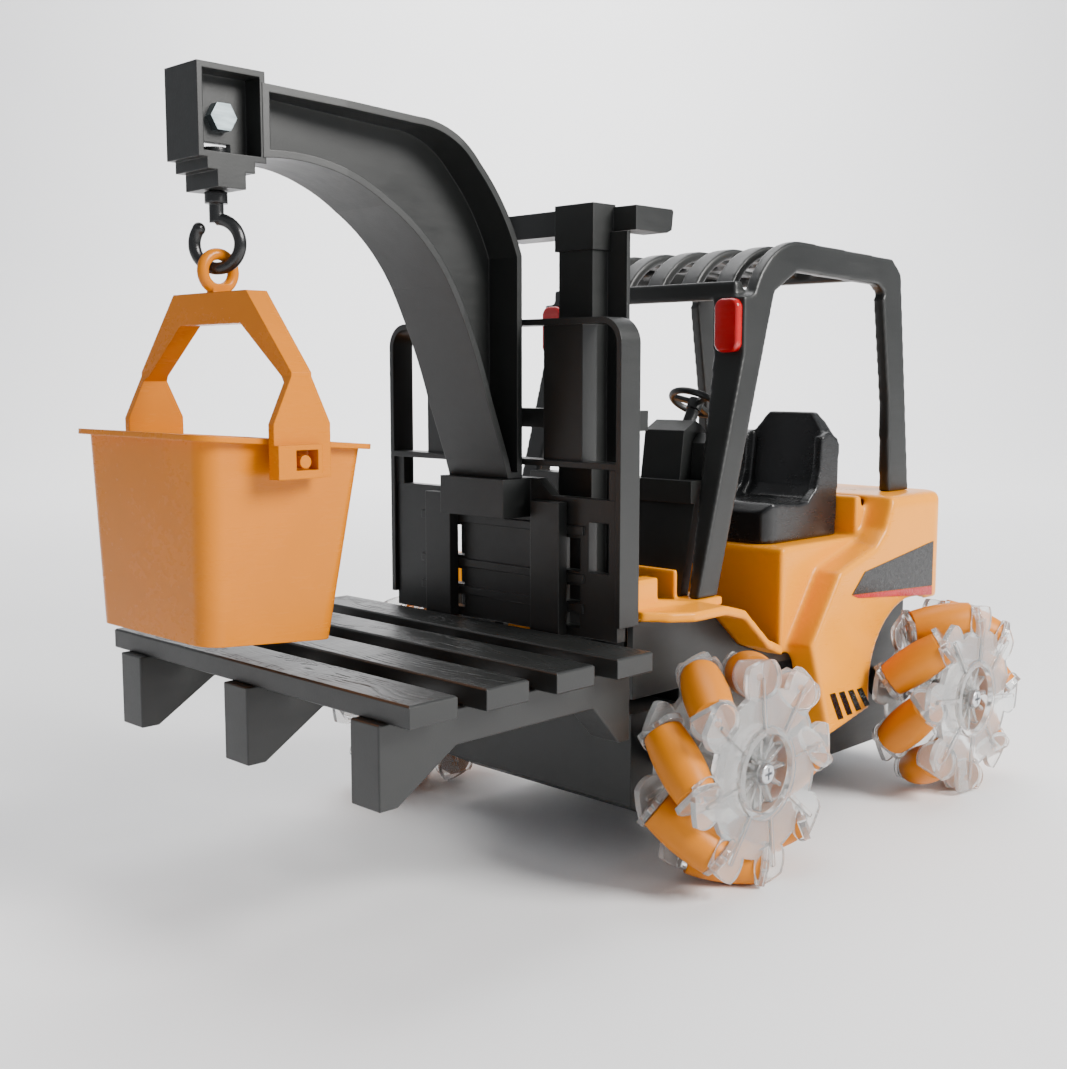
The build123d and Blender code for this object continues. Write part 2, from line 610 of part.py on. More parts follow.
SEAT_Y = (2.0, 42.0)
with BuildPart() as seat:
    with BuildSketch(side(SEAT_Y[1])):
        outline((-63, SEAT_DECK_Z), (-63, 113.5), (-66.5, 117), (-84, 115.6), (-97, 116.5), (-101, 122),
                (-105.2, 150.5), (-109.6, 150.5), (-111.6, 146), (-109.5, SEAT_DECK_Z))
    extrude(amount=SEAT_Y[1] - SEAT_Y[0])
    fillet(seat.edges().filter_by(Axis.Z).filter_by_position(Axis.X, -63.1, -62.9), 6)
    # clipped upper corners and waist of the back
    with BuildSketch(front(-120)):
        Polygon((SEAT_Y[0], 152), (SEAT_Y[0] + 11, 152), (SEAT_Y[0], 138), align=None)
        Polygon((SEAT_Y[1], 152), (SEAT_Y[1] - 11, 152), (SEAT_Y[1], 138), align=None)
    extrude(amount=25, mode=Mode.SUBTRACT)
    # side bolsters
    for y in ((SEAT_Y[0], SEAT_Y[0] + 4), (SEAT_Y[1] - 4, SEAT_Y[1])):
        with BuildSketch(side(y[1])):
            outline((-110, 110), (-92, 112), (-90, 117), (-95, 121), (-97.5, 128), (-98.5, 141), (-104, 143),
                    (-110, 140))
        extrude(amount=y[1] - y[0])
save(seat, "seat")

# ---- overhead guard ------------------------------------------------------------
ROOF_UNDER = ((-131, 197.5), (-126, 200.8), (-69, 203), (-54.6, 195))
with BuildPart() as overhead_guard:
    for y in both_sides(GUARD_HALF_W - 5, GUARD_HALF_W):
        with BuildSketch(side(y[1])):
            with BuildLine():
                Polyline((-70, 214), (-136, 211.4), (-143, 205.8), (-154, DECK_Z), (-138, DECK_Z),
                         (-136, 155), (-129.5, 195.5), *ROOF_UNDER, (-40.5, 147.5), (-23.2, FOOT_Z),
                         (-11.6, FOOT_Z), (-36, 173), (-36, 192), (-42, 194))
                ThreePointArc((-42, 194), (-53.5, 208.6), (-70, 214))
            make_face()
        extrude(amount=y[1] - y[0])
    # front faces of the posts, wider towards the roof
    for y in both_sides(35.0, GUARD_HALF_W):
        with BuildSketch(side(y[1])):
            outline((-11.6, FOOT_Z), (-36, 173), (-36, 193), (-38.4, 193), (-38.4, 172.6), (-14.2, FOOT_Z))
        extrude(amount=y[1] - y[0])
    for left in (1, -1):
        with BuildSketch(front(-45)):
            outline((left * 44.6, FOOT_Z - 1), (left * 34.9, 177), (left * 34.9, 191.9), (left * 30, 191.9),
                    (left * 30, FOOT_Z - 1))
        extrude(amount=40, mode=Mode.SUBTRACT)
    # lengthwise roof slats
    for k in range(5):
        y = (k - 2) * 16.4
        with BuildSketch(side(y + 4)):
            with BuildLine():
                Polyline((-70, 213), (-137, 210.2), (-137, 206.6), (-70, 209.4))
                ThreePointArc((-70, 209.4), (-57.5, 205.4), (-46.5, 193.5))
                Line((-46.5, 193.5), (-42.5, 194))
                ThreePointArc((-42.5, 194), (-54.3, 208), (-70, 213))
            make_face()
        extrude(amount=8)
    # cross rails
    block((-41.5, -36.5), (-44.5, 44.5), (191.9, 198.4))
    block((-139.5, -134), (-44.5, 44.5), (203.4, 209.6))
    block((-95, -91), (-44.5, 44.5), (207.2, 210))
save(overhead_guard, "overhead_guard")

for name, y in (("left_lamp", (37.6, 48.0)), ("right_lamp", (-48.0, -37.6))):
    with BuildPart() as lamp:
        with BuildSketch(front(-36)):
            with Locations(((y[0] + y[1]) / 2, 182.7)):
                RectangleRounded(y[1] - y[0], 19.0, 3.4)
        extrude(amount=3.0)
        fillet(lamp.faces().sort_by(Axis.X)[-1].edges(), 1.2)
    save(lamp, name)

# ---- mast ----------------------------------------------------------------------
MAST_BASE_Z = 52.0
CROSS_X = (-4.0, 1.0)     # cross members pass behind the carriage's runner
CHANNEL_WALL = 2.4
with BuildPart() as mast:
    for y in both_sides(*RAIL_Y):
        block(RAIL_X, y, (MAST_BASE_Z, MAST_TOP_Z - 1.6))
    # channels that take the carriage's shoes, open towards the middle
    block((RAIL_X[0] + CHANNEL_WALL, RAIL_X[1] - CHANNEL_WALL), (-RAIL_Y[1] + 2.6, RAIL_Y[1] - 2.6),
          (MAST_BASE_Z + 3, MAST_TOP_Z), mode=Mode.SUBTRACT)
    # outer flanges
    for y in both_sides(RAIL_Y[1] - 0.5, 40.6):
        block((RAIL_X[0], RAIL_X[0] + 1.6), y, (MAST_BASE_Z, 212))
    # cross members with cheeks that reach forward to the rails
    for z in ((MAST_BASE_Z, 60), (146, 153)):
        block(CROSS_X, (-RAIL_Y[1], RAIL_Y[1]), z)
        for y in both_sides(RAIL_Y[1] - 4, RAIL_Y[1]):
            block((CROSS_X[0], RAIL_X[0] + 0.5), y, z)
save(mast, "mast")

CAP_T = 1.0
with BuildPart() as mast_crosshead:
    for y in both_sides(RAIL_Y[0] - CAP_T, RAIL_Y[1] + CAP_T):
        block((RAIL_X[0] - CAP_T, RAIL_X[1] + CAP_T), y, (206, MAST_TOP_Z))
    block((8, 20), (-RAIL_Y[0], RAIL_Y[0]), (212, MAST_TOP_Z - 0.6))
    # arms that run back towards the cab
    for y in both_sides(RAIL_Y[1] + 0.5, 43.0):
        with BuildSketch(side(y[1])):
            outline((RAIL_X[0], 212.3), (RAIL_X[0], 220.2), (-2.6, 220.2), (-3.2, 219.4), (-2.4, 213.4), (0, 212.3))
        extrude(amount=y[1] - y[0])
    # sockets over the rail tops
    for y in both_sides(*RAIL_Y):
        block(RAIL_X, y, (205, MAST_TOP_Z - 1.6), mode=Mode.SUBTRACT)
    for y in both_sides(RAIL_Y[1] - 0.5, 40.7):
        block((RAIL_X[0] - 0.1, RAIL_X[0] + 1.7), y, (205, 212.1), mode=Mode.SUBTRACT)
save(mast_crosshead, "mast_crosshead")

# ---- carriage -------------------------------------------------------------------
PLATE_X = (33.0, 37.0)
PLATE_Z = (80.0, 125.6)
RUNNER_Z = (96.0, 122.0)
with BuildPart() as carriage:
    block(PLATE_X, (-54.4, 54.4), PLATE_Z)
    # windows between the cross bars
    for z in ((83.0, 87.6), (91.2, 96.8), (101.6, 112.4)):
        for y in both_sides(30.0, 38.2):
            block((PLATE_X[0] - 1, PLATE_X[1] + 1), y, z, mode=Mode.SUBTRACT)
        for y in both_sides(17.5, 26.0):
            block((PLATE_X[0] - 1, PLATE_X[1] + 1), y, z, mode=Mode.SUBTRACT)
    block((PLATE_X[0] - 1, PLATE_X[1] + 1), (42.0, 50.6), (101.6, 118.0), mode=Mode.SUBTRACT)
    # raised bars on the plate's front
    for z in (89.4, 99.2, 115.0):
        block((PLATE_X[1] - 0.2, PLATE_X[1] + 0.8), (-40, 40), (z - 1.4, z + 1.4))
    # plinth and gussets that carry the jib
    block((PLATE_X[0], 50), (-15.5, 15.5), (118, JIB_FOOT_Z))
    for left in (1, -1):
        with BuildSketch(front(PLATE_X[0])):
            outline((left * 15, 124), (left * 15, JIB_FOOT_Z), (left * 19, JIB_FOOT_Z), (left * 27, 124))
        extrude(amount=PLATE_X[1] - PLATE_X[0])
    # runner between the rails with shoes in their channels
    block((RAIL_X[0] - 4, PLATE_X[0] + 0.5), (-RAIL_Y[0] + 0.4, RAIL_Y[0] - 0.4), RUNNER_Z)
    for z in ((RUNNER_Z[0] + 2, RUNNER_Z[0] + 8), (RUNNER_Z[1] - 8, RUNNER_Z[1] - 2)):
        block((RAIL_X[0] + CHANNEL_WALL + 0.4, RAIL_X[1] - CHANNEL_WALL - 0.4),
              (-RAIL_Y[1] + 3.2, RAIL_Y[1] - 3.2), z)
save(carriage, "carriage")

STRAP_T = 2.0
STRAP_X = (29.0, 38.3)
with BuildPart() as backrest:
    with BuildSketch(front(STRAP_X[0])):
        with Locations((0, BACKREST_Z[0])):
            RectangleRounded(2 * BACKREST_HALF_W, 2 * (BACKREST_Z[1] - BACKREST_Z[0]), 8.5)
            RectangleRounded(2 * (BACKREST_HALF_W - STRAP_T), 2 * (BACKREST_Z[1] - BACKREST_Z[0] - STRAP_T), 6.5,
                             mode=Mode.SUBTRACT)
            Rectangle(2 * BACKREST_HALF_W, 120, align=(Align.CENTER, Align.MAX), mode=Mode.SUBTRACT)
    extrude(amount=STRAP_X[1] - STRAP_X[0])
    # cross bar
    block((31, STRAP_X[1]), (-BACKREST_HALF_W + 1, BACKREST_HALF_W - 1), (135.4, 137.4))
    # upright channels behind the bars
    for y in both_sides(20.6, 38.0):
        block((33.5, 36), y, (136, BACKREST_Z[1] - 1))
    for y in both_sides(36.0, 38.0):
        block((29, 36), y, (136, BACKREST_Z[1] - 1))
    for y in both_sides(20.6, 22.6):
        block((29, 36), y, (136, BACKREST_Z[1] - 1))
    # feet down to the carriage plate
    for y in both_sides(50.5, BACKREST_HALF_W - 1):
        block(PLATE_X, y, (PLATE_Z[1], 136))
save(backrest, "backrest")

with BuildPart() as forks:
    for y in both_sides(20.0, 33.0):
        with BuildSketch(side(y[1])):
            outline((PLATE_X[1] + 0.8, 124), (PLATE_X[1] + 0.8, 70.5), (128, 72.2), (132, 74), (128, 75),
                    (41.8, 75), (41.8, 124))
        extrude(amount=y[1] - y[0])
save(forks, "forks")

# ---- jib boom --------------------------------------------------------------------
BOX_X = (134.6, 156.2)
BOX_Z = (224.0, 249.0)
with BuildPart() as jib_boom:
    with BuildSketch(side(BOOM_HALF_W)) as boom_side:
        with BuildLine():
            Polyline((48.5, 137), (46.6, JIB_FOOT_Z), (BOOM_BACK_X, JIB_FOOT_Z), (BOOM_BACK_X, 204))
            ThreePointArc((BOOM_BACK_X, 204), (48.4, 220.1), (58.4, 231.8))
            ThreePointArc((58.4, 231.8), (69.6, 240.2), (83, 243.0))
            Polyline((83, 243.0), (BOX_X[0] + 1, 246), (BOX_X[0] + 1, 225.6))
            ThreePointArc((BOX_X[0] + 1, 225.6), (109, 222.7), (95, 215.8))
            ThreePointArc((95, 215.8), (81.2, 205.4), (71.5, 193))
            ThreePointArc((71.5, 193), (63.2, 176.4), (56.0, 157))
            Line((56.0, 157), (48.5, 137))
        make_face()
    extrude(amount=2 * BOOM_HALF_W)
    # plan taper towards the head
    with BuildSketch(top(100)):
        outline((30, -14.5), (66, -14.5), (78, -13.8), (109, -12), (BOX_X[0] + 2, -8.2), (BOX_X[0] + 2, 8.2),
                (109, 12), (78, 13.8), (66, 14.5), (30, 14.5))
    extrude(amount=170, mode=Mode.INTERSECT)
    # flanges all round a thin web
    for y in (BOOM_HALF_W, -1.1):
        with BuildSketch(side(y)):
            add(boom_side.sketch_local)
            offset(amount=-2.2, mode=Mode.REPLACE)
        extrude(amount=BOOM_HALF_W - 1.1, mode=Mode.SUBTRACT)
    # head: box with open sides, a middle web and a stepped underside
    block(BOX_X, (-HOOK_BOX_HALF_Y, HOOK_BOX_HALF_Y), BOX_Z)
    block((HOOK_X - 7.6, HOOK_X + 7.6), (-HOOK_BOX_HALF_Y, HOOK_BOX_HALF_Y), (220.9, BOX_Z[0] + 0.5))
    block((HOOK_X - 4.5, HOOK_X + 4.5), (-HOOK_BOX_HALF_Y, HOOK_BOX_HALF_Y), (216.3, 221.5))
    for y in both_sides(1.1, HOOK_BOX_HALF_Y + 0.1):
        block((BOX_X[0] + 1.7, BOX_X[1] - 1.7), y, (BOX_Z[0] + 1.7, BOX_Z[1] - 1.7), mode=Mode.SUBTRACT)
    with BuildSketch(top(215)):
        with Locations((HOOK_X, 0)):
            Circle(HOOK_SHANK_R + 0.35)
    extrude(amount=14, mode=Mode.SUBTRACT)
    with BuildSketch(top(BOX_Z[0] + 1.7)):
        with Locations((HOOK_X, 0)):
            Circle(4.4)
    extrude(amount=3.4, mode=Mode.SUBTRACT)
    with BuildSketch(side(2)):
        with Locations((HOOK_X - 0.6, BOLT_Z)):
            Circle(1.6)
    extrude(amount=4, mode=Mode.SUBTRACT)
save(jib_boom, "jib_boom")

with BuildPart() as boom_bolt:
    with BuildSketch(side(4.2)):
        with Locations((HOOK_X - 0.6, BOLT_Z)):
            RegularPolygon(4.2, 6)
    extrude(amount=3.1)
    with BuildSketch(side(1.1)):
        with Locations((HOOK_X - 0.6, BOLT_Z)):
            Circle(1.55)
    extrude(amount=4.0)
    with BuildSketch(side(-1.1)):
        with Locations((HOOK_X - 0.6, BOLT_Z)):
            RegularPolygon(3.4, 6)
    extrude(amount=2.2)
save(boom_bolt, "boom_bolt")

# ---- hook, bail and bucket ---------------------------------------------------------
yaw = math.radians(HOOK_YAW)
HOOK_RING_Z = HOOK_SEAT_Z + HOOK_RING_R
HOOK_PLANE = Plane(origin=(HOOK_X, 0, HOOK_RING_Z), x_dir=(-math.sin(yaw), math.cos(yaw), 0),
                   z_dir=(math.cos(yaw), math.sin(yaw), 0))
with BuildPart() as hook:
    with BuildLine(HOOK_PLANE) as bend:
        CenterArc((0, 0), HOOK_RING_R, 90, -308)
    with BuildSketch(Plane(origin=bend.line @ 0, z_dir=bend.line % 0)):
        Circle(HOOK_WIRE_R)
    sweep()
    with Locations(bend.line @ 1):
        Sphere(HOOK_WIRE_R + 0.1)
    with BuildSketch(top(HOOK_RING_Z + HOOK_RING_R - 1)):
        with Locations((HOOK_X, 0)):
            Circle(HOOK_SHANK_R)
    extrude(amount=226.6 - HOOK_RING_Z - HOOK_RING_R + 1)
    with BuildSketch(top(212.8)):
        with Locations((HOOK_X, 0)):
            Circle(3.2)
    extrude(amount=3.1)
    with BuildSketch(top(226.1)):
        with Locations((HOOK_X, 0)):
            Circle(3.7)
    extrude(amount=1.8)
save(hook, "hook")

BAIL_OUT_Y = 38.6
with BuildPart() as bail:
    with BuildSketch(front(HOOK_X - 9.2)):
        outline((-18.6, 188.2), (18.6, 188.2), (BAIL_OUT_Y, 166), (BAIL_OUT_Y, 138), (36.2, 138), (36.2, 163.4),
                (15.4, 179.4), (-15.4, 179.4), (-36.2, 163.4), (-36.2, 138), (-BAIL_OUT_Y, 138),
                (-BAIL_OUT_Y, 166))
    extrude(amount=18.4)
    # seen from the side the ends swell to a blunt arrow
    with BuildSketch(side(50)):
        outline((HOOK_X - 3.4, 190), (HOOK_X + 3.4, 190), (HOOK_X + 3.2, 165), (HOOK_X + 9.1, 152.5),
                (HOOK_X + 9.1, 137), (HOOK_X - 9.1, 137), (HOOK_X - 9.1, 152.5), (HOOK_X - 3.2, 165))
    extrude(amount=100, mode=Mode.INTERSECT)
    # thicker ends with square holes for the bucket's pegs
    for y in both_sides(36.2, 40.6):
        block((HOOK_X - 5.0, HOOK_X + 9.1), y, (138, 147))
        block((HOOK_X - 3.5, HOOK_X + 3.5), (y[0] - 1, y[1] + 1), (PEG_Z - PEG_R - 0.35, PEG_Z + PEG_R + 1.4),
              mode=Mode.SUBTRACT)
    # ring that hangs in the hook
    with BuildLine(Plane(origin=(HOOK_X, 0, BAIL_RING_Z), x_dir=(1, 0, 0), z_dir=(0, -1, 0))) as loop:
        CenterArc((0, 0), BAIL_RING_R, 0, 360)
    with BuildSketch(Plane(origin=loop.line @ 0, z_dir=loop.line % 0)):
        Circle(BAIL_RING_WIRE_R)
    sweep()
    block((HOOK_X - 2.8, HOOK_X + 2.8), (-BAIL_RING_WIRE_R, BAIL_RING_WIRE_R), (187.5, BAIL_RING_Z - 3.4))
save(bail, "bail")

BUCKET_WALL = 1.7
with BuildPart() as bucket:
    with BuildSketch(top(BUCKET_BASE_Z)):
        with Locations((HOOK_X, 0)):
            RectangleRounded(42.7, 57.6, 6)
    with BuildSketch(top(BUCKET_RIM_Z)):
        with Locations((HOOK_X, 0)):
            RectangleRounded(53.2, 64.4, 6)
    loft()
    with BuildSketch(top(BUCKET_RIM_Z - 1.5)):
        with Locations((HOOK_X, 0)):
            RectangleRounded(59.0, 70, 8)
    extrude(amount=1.5)
    # pegs in the bail's holes
    for y in both_sides(28.0, 39.8):
        with BuildSketch(side(y[1])):
            with Locations((HOOK_X, PEG_Z)):
                Circle(PEG_R)
        extrude(amount=y[1] - y[0])
    with BuildSketch(top(BUCKET_BASE_Z + BUCKET_WALL)):
        with Locations((HOOK_X, 0)):
            RectangleRounded(42.7 - 2 * BUCKET_WALL, 57.6 - 2 * BUCKET_WALL, 5)
    with BuildSketch(top(BUCKET_RIM_Z + 0.1)):
        with Locations((HOOK_X, 0)):
            RectangleRounded(53.2 - 2 * BUCKET_WALL, 64.4 - 2 * BUCKET_WALL, 5)
    loft(mode=Mode.SUBTRACT)
tilt_pin = Pos(HOOK_X, 0, PEG_Z)
save_solid(tilt_pin * Rot(0, -BUCKET_TILT, 0) * tilt_pin.inverse() * bucket.part, "bucket")

# ---- pallet ----------------------------------------------------------------------------
with BuildPart() as pallet:
    for x in ((PALLET_BACK_X, 61.0), (71.2, 87.0), (98.2, 114.3), (124.8, PALLET_FRONT_X)):
        block(x, (-PALLET_HALF_W, PALLET_HALF_W), (PALLET_TOP_Z - SLAT_T, PALLET_TOP_Z))
    for y in ((-66.7, -54.6), (-6.05, 6.05), (54.6, 66.7)):
        with BuildSketch(side(y[1])):
            outline((PALLET_BACK_X, 75.4), (PALLET_BACK_X, 52.2), (49.6, 52.2), (61.7, 65), (117, 65), (138, 52),
                    (144.2, 52), (144.2, 75.4))
        extrude(amount=y[1] - y[0])
save(pallet, "pallet")
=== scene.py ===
import json
import math

import bmesh
import bpy
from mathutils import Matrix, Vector, noise

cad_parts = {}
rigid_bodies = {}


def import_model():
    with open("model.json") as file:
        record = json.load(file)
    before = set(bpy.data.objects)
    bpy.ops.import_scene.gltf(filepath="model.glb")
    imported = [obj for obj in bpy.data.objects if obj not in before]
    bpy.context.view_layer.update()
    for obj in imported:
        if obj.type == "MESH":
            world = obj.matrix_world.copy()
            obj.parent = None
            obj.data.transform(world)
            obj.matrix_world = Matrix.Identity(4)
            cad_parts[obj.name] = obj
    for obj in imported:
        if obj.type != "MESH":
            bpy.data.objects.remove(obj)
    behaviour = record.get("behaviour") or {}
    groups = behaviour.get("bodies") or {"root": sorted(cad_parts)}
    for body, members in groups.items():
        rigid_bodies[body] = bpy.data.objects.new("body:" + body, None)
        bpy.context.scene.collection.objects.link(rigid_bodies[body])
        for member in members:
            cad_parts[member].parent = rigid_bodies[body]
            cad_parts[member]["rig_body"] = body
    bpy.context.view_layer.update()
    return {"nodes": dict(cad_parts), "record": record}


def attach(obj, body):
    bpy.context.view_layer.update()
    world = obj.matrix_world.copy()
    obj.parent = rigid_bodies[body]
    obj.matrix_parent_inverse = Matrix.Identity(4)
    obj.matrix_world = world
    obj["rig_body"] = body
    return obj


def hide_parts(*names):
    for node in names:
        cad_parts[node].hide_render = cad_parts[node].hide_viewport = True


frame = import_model()
NODES = frame["nodes"]
MM = 0.001

# camera, metres and millimetres
CAMERA_AT = (0.3579, 0.3344, 0.1655)
CAMERA_AHEAD = (-0.70586, -0.69849, -0.11780)
LENS = 45.5
SENSOR = 36

# the pale sweep behind the machine, metres along the camera's line
SWEEP_NEAR = 2.2
SWEEP_BEND = -1.6
SWEEP_RADIUS = 1.2
SWEEP_TOP = 4.5
SWEEP_HALF_WIDTH = 5
SWEEP_AHEAD = (0.716, 0.698, 0)
SWEEP_ACROSS = (0.698, -0.716, 0)

SKY_COLOUR = (0.93, 0.95, 1.0, 1)
SKY_STRENGTH = 0.50

# moulding colours
YELLOW = (0.86, 0.300, 0.0)
ORANGE = (0.56, 0.165, 0.0)
ROLLER = (0.60, 0.185, 0.0)
BLACK = (0.0105, 0.0115, 0.011)
SEAT_BLACK = (0.009, 0.0095, 0.010)
NYLON = (0.78, 0.77, 0.70)
CELL_GREEN = (0.02, 0.22, 0.10)
BOARD_GREEN = (0.01, 0.12, 0.04)


# ---- materials -------------------------------------------------------------
class Look:
    """One node material, with short calls for the detail every surface needs."""

    def __init__(self, name):
        self.mat = bpy.data.materials.new(name)
        self.mat.use_nodes = True
        self.tree = self.mat.node_tree
        self.tree.nodes.clear()
        self.out = self.node("ShaderNodeOutputMaterial")
        self.bsdf = self.node("ShaderNodeBsdfPrincipled")
        self.link(self.bsdf.outputs[0], self.out.inputs[0])
        self.coord = self.node("ShaderNodeTexCoord").outputs["Object"]
        self.normal = None

    def node(self, kind, **values):
        made = self.tree.nodes.new(kind)
        for key, value in values.items():
            setattr(made, key, value)
        return made

    def link(self, a, b):
        self.tree.links.new(a, b)

    def put(self, **values):
        """Constants on the shader's own sockets."""
        for key, value in values.items():
            self.bsdf.inputs[key.replace("_", " ")].default_value = value

    def noise(self, scale, detail=3.0, stretch=(1, 1, 1), rough=0.55, distortion=0.0):
        vec = self.coord
        if stretch != (1, 1, 1):
            mapping = self.node("ShaderNodeMapping")
            mapping.inputs["Scale"].default_value = stretch
            self.link(vec, mapping.inputs[0])
            vec = mapping.outputs[0]
        tex = self.node("ShaderNodeTexNoise")
        tex.inputs["Scale"].default_value = scale
        tex.inputs["Detail"].default_value = detail
        tex.inputs["Roughness"].default_value = rough
        tex.inputs["Distortion"].default_value = distortion
        self.link(vec, tex.inputs["Vector"])
        return tex.outputs[0]

    def ramp(self, value, stops):
        made = self.node("ShaderNodeValToRGB")
        band = made.color_ramp
        while len(band.elements) < len(stops):
            band.elements.new(0.5)
        for element, (at, colour) in zip(band.elements, stops):
            element.position = at
            element.color = (*colour, 1)
        self.link(value, made.inputs[0])
        return made.outputs[0]

    def remap(self, value, low, high, to_low, to_high):
        made = self.node("ShaderNodeMapRange")
        for key, number in (("From Min", low), ("From Max", high), ("To Min", to_low), ("To Max", to_high)):
            made.inputs[key].default_value = number
        self.link(value, made.inputs["Value"])
        return made.outputs[0]

    def math(self, operation, a, b):
        made = self.node("ShaderNodeMath", operation=operation)
        for socket, value in zip(made.inputs, (a, b)):
            if isinstance(value, (int, float)):
                socket.default_value = value
            else:
                self.link(value, socket)
        return made.outputs[0]

    def colour(self, value, stops):
        self.link(self.ramp(value, stops), self.bsdf.inputs["Base Color"])

    def rough(self, value, low, high):
        self.link(self.remap(value, 0.3, 0.7, low, high), self.bsdf.inputs["Roughness"])

    def round_edges(self, radius):
        bevel = self.node("ShaderNodeBevel", samples=6)
        bevel.inputs["Radius"].default_value = radius
        self.normal = bevel.outputs[0]

    def bump(self, height, strength, distance):
        made = self.node("ShaderNodeBump")
        made.inputs["Strength"].default_value = strength
        made.inputs["Distance"].default_value = distance
        self.link(height, made.inputs["Height"])
        if self.normal is not None:
            self.link(self.normal, made.inputs["Normal"])
        self.normal = made.outputs[0]

    def done(self):
        if self.normal is not None:
            self.link(self.normal, self.bsdf.inputs["Normal"])
        return self.mat


def shade(rgb, factor):
    return tuple(min(1.0, c * factor) for c in rgb)


def moulded(name, rgb, rough, spread=0.06, gloss=0.5, edge=0.35, grain=0.10, swirl=0.06):
    """Injection-moulded plastic: faint flow marks, fine grain, handling scuffs."""
    look = Look(name)
    cloud = look.noise(22, 4, distortion=0.6)
    look.colour(cloud, ((0.25, shade(rgb, 1 - swirl)), (0.55, rgb), (0.8, shade(rgb, 1 + swirl))))
    scuff = look.noise(260, 5, stretch=(0.25, 1.0, 1.7), rough=0.7)
    look.rough(look.math("ADD", look.math("MULTIPLY", cloud, 0.55), look.math("MULTIPLY", scuff, 0.45)),
               rough - spread, rough + spread)
    look.put(IOR=1.5, Specular_IOR_Level=gloss)
    look.round_edges(edge * MM)
    look.bump(look.noise(1500, 2), grain, 0.0001)
    look.bump(look.noise(75, 2), 0.10, 0.0004)
    return look.done()


body_mat = moulded("moulded_amber", YELLOW, 0.30, gloss=0.28, edge=0.9)
bucket_mat = moulded("moulded_orange", ORANGE, 0.26, gloss=0.22, edge=0.5, swirl=0.08)
roller_mat = moulded("roller_orange", ROLLER, 0.44, gloss=0.3, edge=0.5, grain=0.2)
black_mat = moulded("moulded_black", BLACK, 0.40, spread=0.08, edge=0.45, grain=0.22, swirl=0.2)
seat_mat = moulded("seat_black", SEAT_BLACK, 0.27, edge=1.0, grain=0.15, swirl=0.2)
nylon_mat = moulded("gearbox_nylon", NYLON, 0.45, edge=0.5)
cell_mat = moulded("cell_wrap", CELL_GREEN, 0.25)
board_mat = moulded("circuit_green", BOARD_GREEN, 0.35)


def clear_plastic():
    """Clear moulding with slow ripples, a little milky."""
    look = Look("clear_moulding")
    ripple = look.noise(55, 3, distortion=0.8)
    look.colour(ripple, ((0.3, (0.86, 0.89, 0.90)), (0.7, (0.96, 0.95, 0.93))))
    look.rough(look.noise(180, 4), 0.04, 0.15)
    look.put(Transmission_Weight=0.86, IOR=1.42, Specular_IOR_Level=0.7)
    look.round_edges(0.5 * MM)
    look.bump(ripple, 0.25, 0.0008)
    look.bump(look.noise(420, 2), 0.12, 0.0002)
    return look.done()


def lamp_red():
    """Red lens with fine level ribs."""
    look = Look("lamp_lens")
    ribs = look.node("ShaderNodeTexWave", bands_direction="Z")
    ribs.inputs["Scale"].default_value = 130
    look.link(look.coord, ribs.inputs["Vector"])
    look.colour(look.noise(60, 2), ((0.3, (0.34, 0.002, 0.004)), (0.7, (0.46, 0.004, 0.006))))
    look.rough(look.noise(300, 3), 0.16, 0.26)
    look.put(Coat_Weight=0.4, Subsurface_Weight=0.25, Subsurface_Scale=0.002,
             Subsurface_Radius=(1.0, 0.1, 0.1))
    look.round_edges(0.8 * MM)
    look.bump(ribs.outputs["Fac"], 0.15, 0.0003)
    return look.done()


def steel(name, rgb, rough):
    """Plated steel with brush marks."""
    look = Look(name)
    brushed = look.noise(900, 4, stretch=(0.15, 1, 1))
    look.colour(brushed, ((0.3, shade(rgb, 0.8)), (0.7, shade(rgb, 1.1))))
    look.rough(brushed, rough - 0.08, rough + 0.1)
    look.put(Metallic=1.0)
    look.round_edges(0.15 * MM)
    look.bump(brushed, 0.1, 0.0001)
    return look.done()


def printed_film(name, rgb):
    """Printed self-adhesive film."""
    look = Look(name)
    look.colour(look.noise(140, 3), ((0.3, shade(rgb, 0.85)), (0.7, shade(rgb, 1.15))))
    look.rough(look.noise(500, 2), 0.20, 0.34)
    look.bump(look.noise(800, 2), 0.05, 0.0001)
    return look.done()


clear_mat = clear_plastic()
lamp_mat = lamp_red()
steel_mat = steel("zinc_steel", (0.62, 0.63, 0.65), 0.30)
bolt_mat = steel("bolt_steel", (0.30, 0.36, 0.38), 0.34)
film_black = printed_film("film_black", (0.006, 0.006, 0.0065))
film_red = printed_film("film_red", (0.42, 0.006, 0.010))

LOOKS = {"body_yellow": body_mat, "bucket_orange": bucket_mat, "roller_orange": roller_mat,
         "black_plastic": black_mat, "black_gloss": seat_mat, "clear_plastic": clear_mat,
         "lamp_red": lamp_mat, "label_black": film_black, "label_red": film_red, "steel": steel_mat,
         "bolt_steel": bolt_mat, "gearbox_white": nylon_mat, "cell_green": cell_mat, "board_green": board_mat}

SLOT_OF = {part["node"]: part["material_slot"] for part in frame["record"]["subparts"]}
for node_name, node in NODES.items():
    node.data.materials.clear()
    node.data.materials.append(LOOKS[SLOT_OF[node_name]])


# ---- pieces in mesh code ---------------------------------------------------------
def new_piece(name, work, material, body, replaced=(), smooth_angle=None):
    """Turn a bmesh into a piece that rides on a body."""
    bmesh.ops.recalc_face_normals(work, faces=work.faces)
    mesh = bpy.data.meshes.new(name)
    work.to_mesh(mesh)
    work.free()
    mesh.materials.append(material)
    piece = bpy.data.objects.new(name, mesh)
    bpy.context.scene.collection.objects.link(piece)
    if smooth_angle is not None:
        mesh.set_sharp_from_angle(angle=math.radians(smooth_angle))
    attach(piece, body)
    if replaced:
        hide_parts(*replaced)
    return piece


